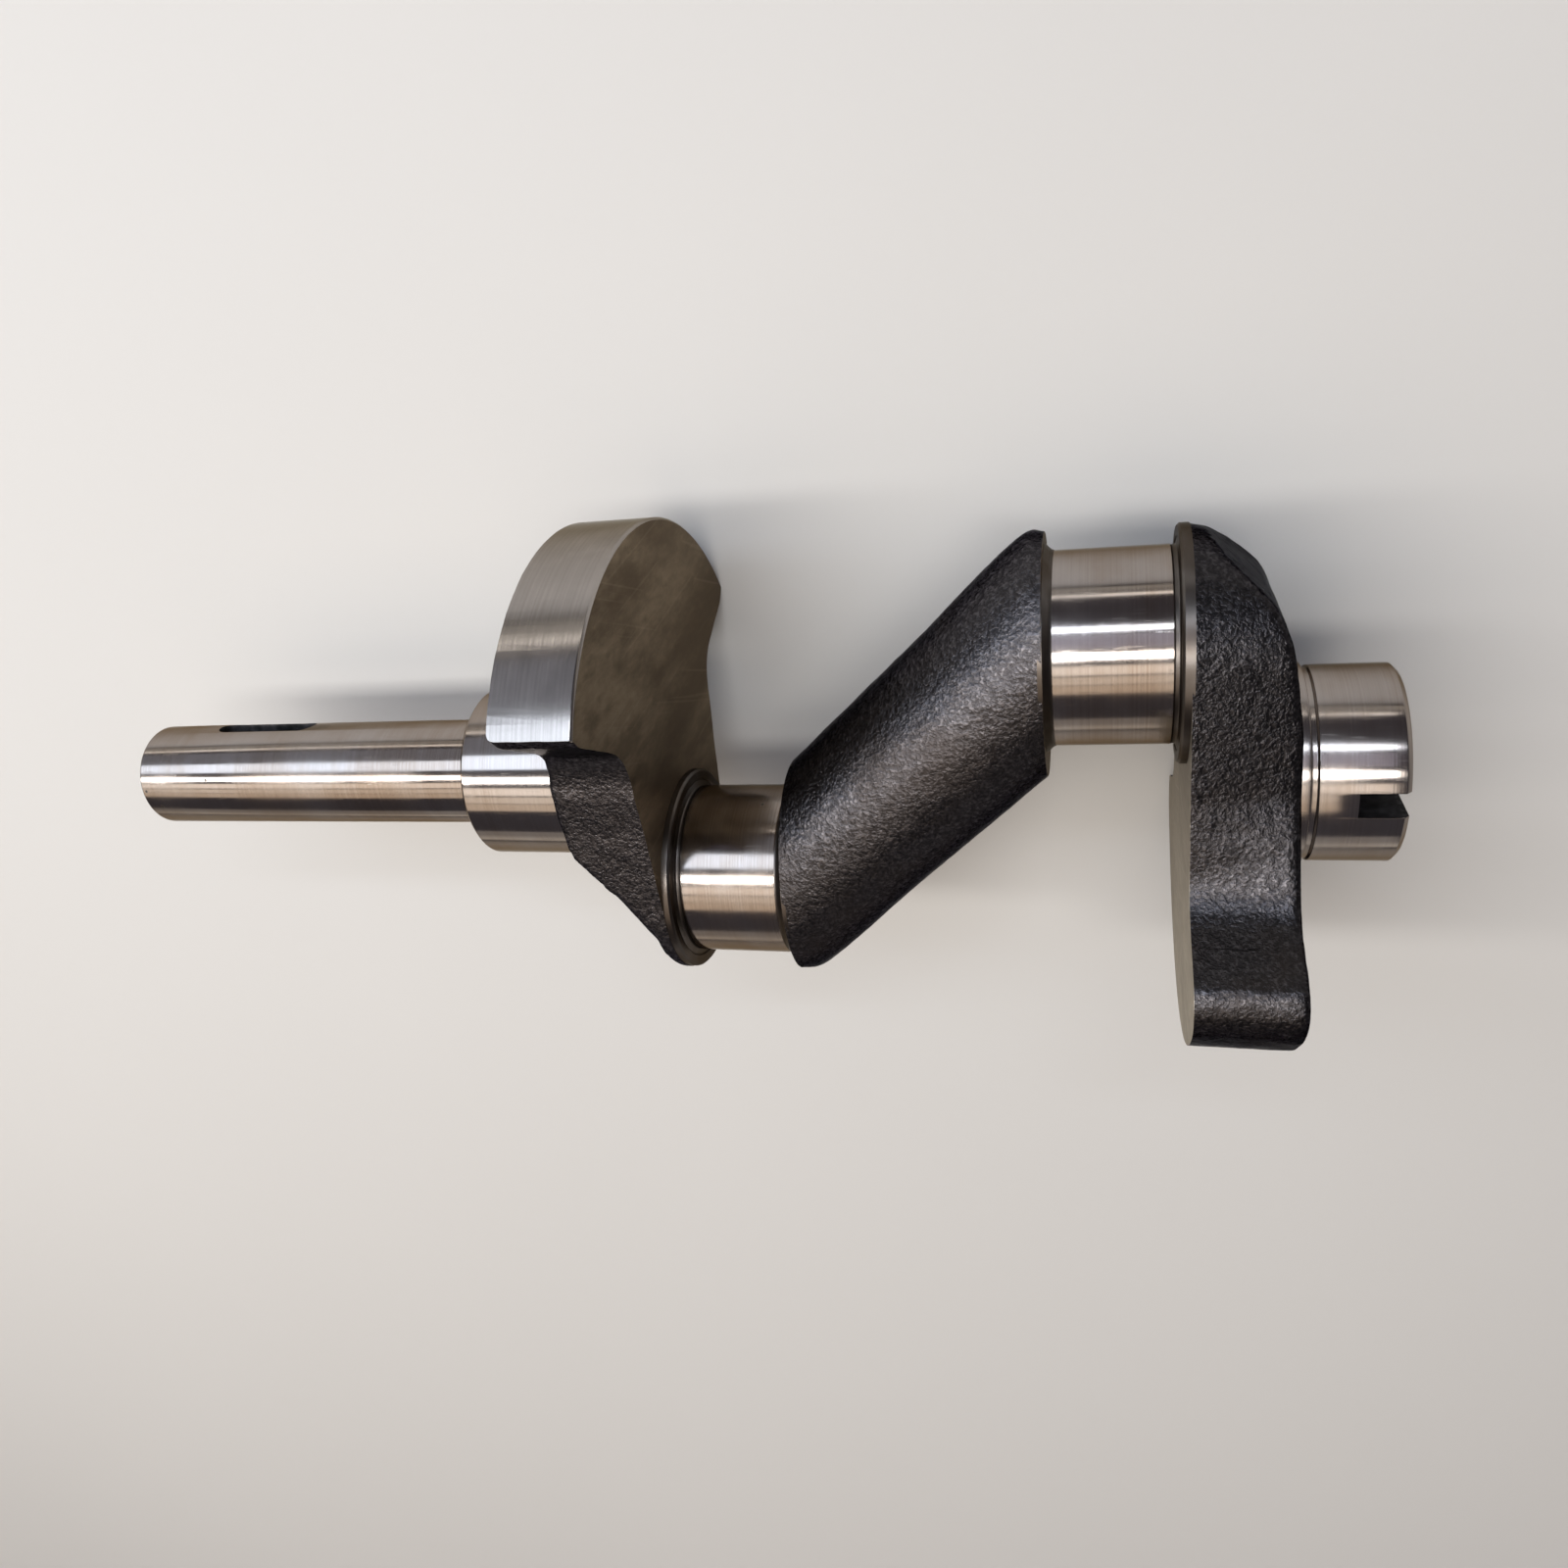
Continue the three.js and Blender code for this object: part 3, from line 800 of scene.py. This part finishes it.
class CRANK_OT_crankpins(bpy.types.Operator):
    """The two ground crankpins with a fillet at each root"""

    bl_idname = "crank.crankpins"
    bl_label = "Crankpins"

    def execute(self, context):
        steel = ground_steel("pin_steel", context.scene.crank_colours)
        ring = FRONT_RING_HIGH.x - FRONT_WEB_HIGH.x
        front = (FRONT_WEB_HIGH.x, CENTRE_LOW.x)
        rear = (REAR_WEB_LOW.x, CENTRE_HIGH.x)
        buried = 0.8 * MM
        for name, node, (root, centre), side in (
            ("front_crankpin_piece", "front_crankpin", front, -1),
            ("rear_crankpin_piece", "rear_crankpin", rear, 1),
        ):
            way = 1 if centre > root else -1
            relief = PIN_RADIUS - 0.15 * MM
            outline = rounded([
                (root - way * buried, 0, 0),
                (root - way * buried, PIN_ROOT_RADIUS, 0),
                (root + way * (ring - 0.3 * MM), PIN_ROOT_RADIUS, 0.2 * MM),
                (root + way * (ring + 0.2 * MM), relief, 0.4 * MM),
                (root + way * (ring + 1.0 * MM), relief, 0.3 * MM),
                (root + way * (ring + 1.3 * MM), PIN_RADIUS, 0.2 * MM),
                (centre - way * 1.6 * MM, PIN_RADIUS, 1.5 * MM),
                (centre - way * 0.1 * MM, PIN_ROOT_RADIUS, 0),
                (centre + way * buried, PIN_ROOT_RADIUS, 0),
                (centre + way * buried, 0, 0),
            ], 4)
            # The fillets, relief groove and buried ends take the ring's painted-shade steel.
            root_steel = thrust_face(node + "_root", context.scene.crank_colours, side * THROW)
            pin = turned(name, outline, [steel, root_steel], side * THROW)
            paint_faces(pin, lambda centre, normal: int(
                abs(math.hypot(centre.y - side * THROW, centre.z) - PIN_RADIUS) > ON_PIN))
            smooth(pin)
            place(pin, node)
        return {"FINISHED"}


class CRANK_OT_thrust_rings(bpy.types.Operator):
    """The machined rings beside the crankpins that locate the connecting rods"""

    bl_idname = "crank.thrust_rings"
    bl_label = "Thrust rings"

    def execute(self, context):
        colours = context.scene.crank_colours
        for name, node, back, face, side in (
            ("front_thrust_ring_piece", "front_thrust_ring", FRONT_WEB_HIGH.x, FRONT_RING_HIGH.x, -1),
            ("rear_thrust_ring_piece", "rear_thrust_ring", REAR_WEB_LOW.x, REAR_RING_LOW.x, 1),
        ):
            way = 1 if face > back else -1
            bore = PIN_ROOT_RADIUS - 0.2 * MM
            buried = back - way * 0.5 * MM
            outline = rounded([
                (buried, bore, 0),
                (face - way * 0.3 * MM, bore, 0.1 * MM),
                (face, bore + 0.35 * MM, 0.1 * MM),
                (face, RING_RADIUS - 0.5 * MM, 0.2 * MM),
                (face - way * 0.5 * MM, RING_RADIUS, 0.2 * MM),
                (buried, RING_RADIUS, 0),
                (buried, bore, 0),
            ], 3)
            # The ring's steel is painted shade.
            material = thrust_face(node + "_steel", colours, side * THROW)
            ring = turned(name, outline, [material], side * THROW)
            smooth(ring)
            place(ring, node)
        return {"FINISHED"}


class CRANK_OT_front_web(bpy.types.Operator):
    """The front web and its counterweight: cast, with a turned rim and a milled face"""

    bl_idname = "crank.front_web"
    bl_label = "Front web and counterweight"

    def execute(self, context):
        sizes = context.scene.crank_sizes
        colours = context.scene.crank_colours
        inner = FRONT_WEB_HIGH.x
        boss = FRONT_WEB_LOW.x
        stand = 5.3
        plate = boss + stand * MM
        allowance = 1.5 * MM
        # (y, how far the back is from the boss) in mm
        table = [(y * MM, boss + x * MM) for y, x in (
            (-60.0, 21.0), (-42.0, 20.6), (-31.5, 19.6), (-23.5, 14.5), (-10.5, 4.4), (-3.0, 3.7),
            (8.0, 3.7), (15.0, stand), (60.0, stand))]
        shape = web_blank(inner + allowance, plate, lambda y: between(y, table),
                          (1.2 * MM, 4.5 * MM), 1.6 * MM)
        for v in shape.verts:
            out = Vector((0, v.co.y, v.co.z))
            if v.co.y > 25 * MM and out.length > RIM_RADIUS - 3 * MM:
                v.co += out.normalized() * allowance
        add_taper(shape, (boss, 20.3 * MM, 0.0), (plate - 1 * MM, 22.8 * MM, 2 * MM))
        add_taper(shape, (boss, 20.4 * MM, 0.0), (inner - 3 * MM, 22.6 * MM, -THROW))
        materials = [
            # Painted light: the front web's cast skin takes a tone of 1.5, lighter than the other webs.
            cast_skin("front_cast_skin", colours, 1.5),
            milled_face("front_milled_face", colours, -THROW),
            turned_rim("front_turned_rim", colours),
        ]
        web = as_cast(shape, "front_casting", materials, sizes)
        edge = 0.5 * MM
        outline = rounded([
            (boss - 20 * MM, 0, 0),
            (boss - 20 * MM, RIM_RADIUS, 0),
            (inner - edge, RIM_RADIUS, edge),
            (inner, RIM_RADIUS - edge, edge),
            (inner, 0, 0),
        ], 3)
        cut(web, turned("cutter", outline, []), "INTERSECT")

        def choose(centre, normal):
            radius = math.hypot(centre.y, centre.z)
            if abs(centre.x - inner) < ON_PLANE and normal.x > 0.9:
                return 1
            if radius > RIM_RADIUS - 0.1 * MM or (
                    centre.x > inner - edge * 1.05 and radius > RIM_RADIUS - edge * 1.1):
                return 2
            return 0

        paint_faces(web, choose)
        for name, node, above, slot in (
            ("front_web_piece", "front_web", False, "cast_skin"),
            ("front_counterweight_piece", "front_counterweight", True, "turned_rim"),
        ):
            part = smooth(part_at(web, name, PARTING, above), math.radians(38))
            place(part, node)
        bpy.data.objects.remove(web)
        return {"FINISHED"}


class CRANK_OT_rear_web(bpy.types.Operator):
    """The rear web and its counterweight, as cast but for the milled inner face"""

    bl_idname = "crank.rear_web"
    bl_label = "Rear web and counterweight"

    def execute(self, context):
        sizes = context.scene.crank_sizes
        colours = context.scene.crank_colours
        inner = REAR_WEB_LOW.x
        outer = REAR_WEB_HIGH.x
        allowance = 1.5 * MM
        # (y before the half turn, how far the back is from the inner face) in mm
        table = [(y * MM, inner + x * MM) for y, x in (
            (-51.5, 3.4), (-49.8, 4.4), (-47.2, 8.0), (-44.0, 11.6), (-39.8, 15.6), (-32.5, 17.8),
            (-14.0, 20.3))]
        shape = web_blank(inner - allowance, outer, lambda y: min(outer, between(y, table)),
                          (6.5 * MM, 6.5 * MM), 4.2 * MM, 0.2)
        bmesh.ops.rotate(shape, cent=(0, 0, 0), matrix=Matrix.Rotation(math.pi, 3, "X"),
                         verts=shape.verts)
        add_taper(shape, (outer, COLLAR_RADIUS - 0.1 * MM, 0.0), (inner + 6 * MM, 19.0 * MM, THROW))
        materials = [
            # Painted shade: the rear web's cast skin takes a tone of 0.9, darker than the other webs.
            cast_skin("rear_cast_skin", colours, 0.9),
            # Painted highlight: the rear face's colours are raised and turned bluish by its tone.
            milled_face("rear_milled_face", colours, THROW, (1.35, 1.57, 1.9), 0.35),
        ]
        web = as_cast(shape, "rear_casting", materials, sizes)
        far = 2 * RIM_RADIUS
        cut(web, box_cutter((inner - 10 * MM, -far, -far), (inner, far, far)))
        paint_faces(web, lambda centre, normal: int(abs(centre.x - inner) < ON_PLANE))
        for name, node, above, slot in (
            ("rear_web_piece", "rear_web", True, "cast_skin"),
            ("rear_counterweight_piece", "rear_counterweight", False, "cast_skin"),
        ):
            part = smooth(part_at(web, name, -PARTING, above), math.radians(38))
            place(part, node)
        bpy.data.objects.remove(web)
        return {"FINISHED"}


class CRANK_OT_centre_web(bpy.types.Operator):
    """The diagonal cast bar between the crankpins, milled flat at both ends"""

    bl_idname = "crank.centre_web"
    bl_label = "Centre web"

    def execute(self, context):
        sizes = context.scene.crank_sizes
        colours = context.scene.crank_colours
        allowance = 2.5 * MM
        length = CENTRE_HIGH.x - CENTRE_LOW.x
        middle = (CENTRE_HIGH.x + CENTRE_LOW.x) / 2
        half_height = 27.4 * MM
        half_depth = CENTRE_HIGH.z
        end_round = 4.2 * MM
        belly = 1.5 * MM
        stations = 60
        shape = bmesh.new()
        bmesh.ops.create_circle(shape, radius=1.0, segments=96)
        ring = shape.verts[:]
        edges = shape.edges[:]
        unit = {v: v.co.copy() for v in ring}

        def lay(verts, units, t):
            for v, u in zip(verts, units):
                tip = max(0.0, t * u.y)
                round_off = end_round * tip * min(1.0, abs(t)) ** 16
                fuller = belly * tip * 4 * abs(t) * max(0.0, 1 - abs(t))
                v.co.x = middle + length / 2 * t
                v.co.y = THROW * t + (half_height + fuller - round_off) * u.y
                v.co.z = half_depth * u.x

        reach = 1 + 2 * allowance / length
        units = [unit[v] for v in ring]
        lay(ring, units, -reach)
        bmesh.ops.contextual_create(shape, geom=edges)
        for i in range(1, stations + 1):
            t = -reach * math.cos(math.pi * i / stations)
            grown = bmesh.ops.extrude_edge_only(shape, edges=edges)
            new = [v for v in grown["geom"] if isinstance(v, bmesh.types.BMVert)]
            edges = [e for e in grown["geom"] if isinstance(e, bmesh.types.BMEdge)
                     and all(v in new for v in e.verts)]
            lay(new, units, t)
        bmesh.ops.contextual_create(shape, geom=edges)
        materials = [
            # Painted light: the centre web's cast skin takes a tone of 1.15.
            cast_skin("centre_cast_skin", colours, 1.15),
            milled_face("centre_milled_face", colours, THROW),
        ]
        web = as_cast(shape, "centre_web_piece", materials, sizes)
        far = 2 * RIM_RADIUS
        left, right = CENTRE_LOW.x, CENTRE_HIGH.x
        for low, high in ((left - 20 * MM, left), (right, right + 20 * MM)):
            cut(web, box_cutter((low, -far, -far), (high, far, far)))
        paint_faces(web, lambda centre, normal: int(
            min(abs(centre.x - left), abs(centre.x - right)) < ON_PLANE))
        smooth(web, math.radians(38))
        place(web, "centre_web")
        return {"FINISHED"}


# ---------------------------------------------------------------------------------------------
# Stage


class CRANK_OT_stage(bpy.types.Operator):
    """A plain pale floor, soft studio lights along the shaft and the camera"""

    bl_idname = "crank.stage"
    bl_label = "Stage, lights and camera"

    def execute(self, context):
        scene = context.scene
        view = scene.crank_view
        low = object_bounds()[0]
        clearance = 0.2 * MM
        self.add_floor(low.z - clearance, scene.crank_colours)
        self.add_world(scene)
        # Each has its angle from straight above towards the rear throw in degrees, its width, its two
        # ends along the shaft, its radiance and its colour.
        for name, angle, width, start, end, radiance, colour in (
            ("low_glow", 80, 0.05, -1.40, 0.40, 2.4, (1.0, 0.95, 0.88)),
            ("dusk_panel", 60, 0.40, -1.40, -0.10, 0.32, (0.80, 0.86, 1.0)),
            ("cool_panel", 36, 0.32, -1.40, -0.10, 3.3, (0.76, 0.86, 1.0)),
            ("cool_haze", 27, 0.24, -0.08, 0.40, 0.7, (0.84, 0.82, 1.0)),
            ("cool_line", 41, 0.06, -0.08, 0.40, 16.0, (0.80, 0.88, 1.0)),
            ("bright_strip", 11, 0.11, -1.40, 0.40, 18.0, (1.0, 0.97, 0.93)),
            ("warm_near", -5, 0.17, -1.40, 0.40, 2.0, (1.0, 0.89, 0.77)),
            ("warm_middle", -17, 0.15, -1.40, 0.40, 1.4, (1.0, 0.85, 0.69)),
            ("warm_far", -28, 0.17, -1.40, 0.40, 1.1, (1.0, 0.80, 0.60)),
            ("low_front", -79, 0.30, -1.40, 0.40, 0.35, (1.0, 0.92, 0.82)),
        ):
            self.add_light(scene, name, math.radians(angle), (width, start, end), radiance, colour)
        self.add_camera(scene, view)
        scene.view_settings.view_transform = "Standard"
        return {"FINISHED"}

    def add_floor(self, height, colours):
        shape = bmesh.new()
        bmesh.ops.create_grid(shape, x_segments=2, y_segments=2, size=3.0)
        bmesh.ops.translate(shape, vec=(0, 0, height), verts=shape.verts)
        paper = Finish("floor_paper", metallic=0.0)
        tone = paper.blend(paper.noise(6, 3.0), opaque(colours.floor), opaque(colours.floor, 0.97))
        material = paper.settle(tone, 0.85)
        floor = to_object(shape, "floor", [material])
        floor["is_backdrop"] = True

    def add_world(self, scene):
        world = bpy.data.worlds.new("studio")
        world.use_nodes = True
        tree = world.node_tree
        sky = tree.nodes["Background"]
        facing = tree.nodes.new("ShaderNodeTexCoord")
        parts = tree.nodes.new("ShaderNodeSeparateXYZ")
        rise = tree.nodes.new("ShaderNodeValToRGB")
        rise.color_ramp.elements[0].position = 0.03
        rise.color_ramp.elements[0].color = (0.58, 0.54, 0.49, 1.0)
        rise.color_ramp.elements[1].position = 0.16
        rise.color_ramp.elements[1].color = (0.085, 0.078, 0.088, 1.0)
        tree.links.new(facing.outputs["Generated"], parts.inputs[0])
        tree.links.new(parts.outputs[2], rise.inputs["Fac"])
        tree.links.new(rise.outputs["Color"], sky.inputs["Color"])
        scene.world = world

    def add_light(self, scene, name, angle, spread, radiance, colour):
        width, start, end = spread
        distance = 0.9
        lamp = bpy.data.lights.new(name, "AREA")
        lamp.shape = "RECTANGLE"
        lamp.size = end - start
        lamp.size_y = width
        lamp.energy = radiance * math.pi * (end - start) * width
        lamp.color = colour
        holder = bpy.data.objects.new(name, lamp)
        scene.collection.objects.link(holder)
        holder.location = ((start + end) / 2, distance * math.sin(angle), distance * math.cos(angle))
        holder.rotation_euler = (-angle, 0, 0)
        holder.visible_camera = False

    def add_camera(self, scene, view):
        lens = bpy.data.cameras.new("camera")
        lens.lens = view.lens
        lens.sensor_width = 36
        lens.clip_start = 0.01
        holder = bpy.data.objects.new("camera", lens)
        scene.collection.objects.link(holder)
        turn = Matrix.Rotation(-view.lean, 4, "X")
        aim = (Matrix.Rotation(view.yaw, 4, "Y") @ Matrix.Rotation(view.pitch, 4, "X")
               @ Matrix.Rotation(view.roll, 4, "Z"))
        foot = Matrix.Translation((view.station, 0, 0))
        holder.matrix_world = foot @ turn @ Matrix.Translation((0, 0, view.distance)) @ aim
        scene.camera = holder


class CRANK_PT_builder(bpy.types.Panel):
    """Lists the crankshaft's pieces"""

    bl_idname = "CRANK_PT_builder"
    bl_label = "Crankshaft"
    bl_space_type = "VIEW_3D"
    bl_region_type = "UI"
    bl_category = "Crankshaft"

    def draw(self, context):
        for step in STEPS:
            self.layout.operator(step.bl_idname)
        for group in (context.scene.crank_sizes, context.scene.crank_colours, context.scene.crank_view):
            column = self.layout.column(align=True)
            for name in group.__annotations__:
                column.prop(group, name)


STEPS = (
    CRANK_OT_output_shaft,
    CRANK_OT_main_journals,
    CRANK_OT_crankpins,
    CRANK_OT_thrust_rings,
    CRANK_OT_front_web,
    CRANK_OT_rear_web,
    CRANK_OT_centre_web,
    CRANK_OT_stage,
)
GROUPS = {
    "crank_sizes": CrankshaftSizes,
    "crank_colours": CrankshaftColours,
    "crank_view": CrankshaftView,
}


def register():
    for group in GROUPS.values():
        bpy.utils.register_class(group)
    for name, group in GROUPS.items():
        setattr(bpy.types.Scene, name, PointerProperty(type=group))
    for made in (*STEPS, CRANK_PT_builder):
        bpy.utils.register_class(made)


def unregister():
    for made in (CRANK_PT_builder, *reversed(STEPS)):
        bpy.utils.unregister_class(made)
    for name in GROUPS:
        delattr(bpy.types.Scene, name)
    for group in reversed(GROUPS.values()):
        bpy.utils.unregister_class(group)


def main():
    register()
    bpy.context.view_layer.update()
    for step in STEPS:
        family, name = step.bl_idname.split(".")
        getattr(getattr(bpy.ops, family), name)()


if __name__ == "__main__":
    main()
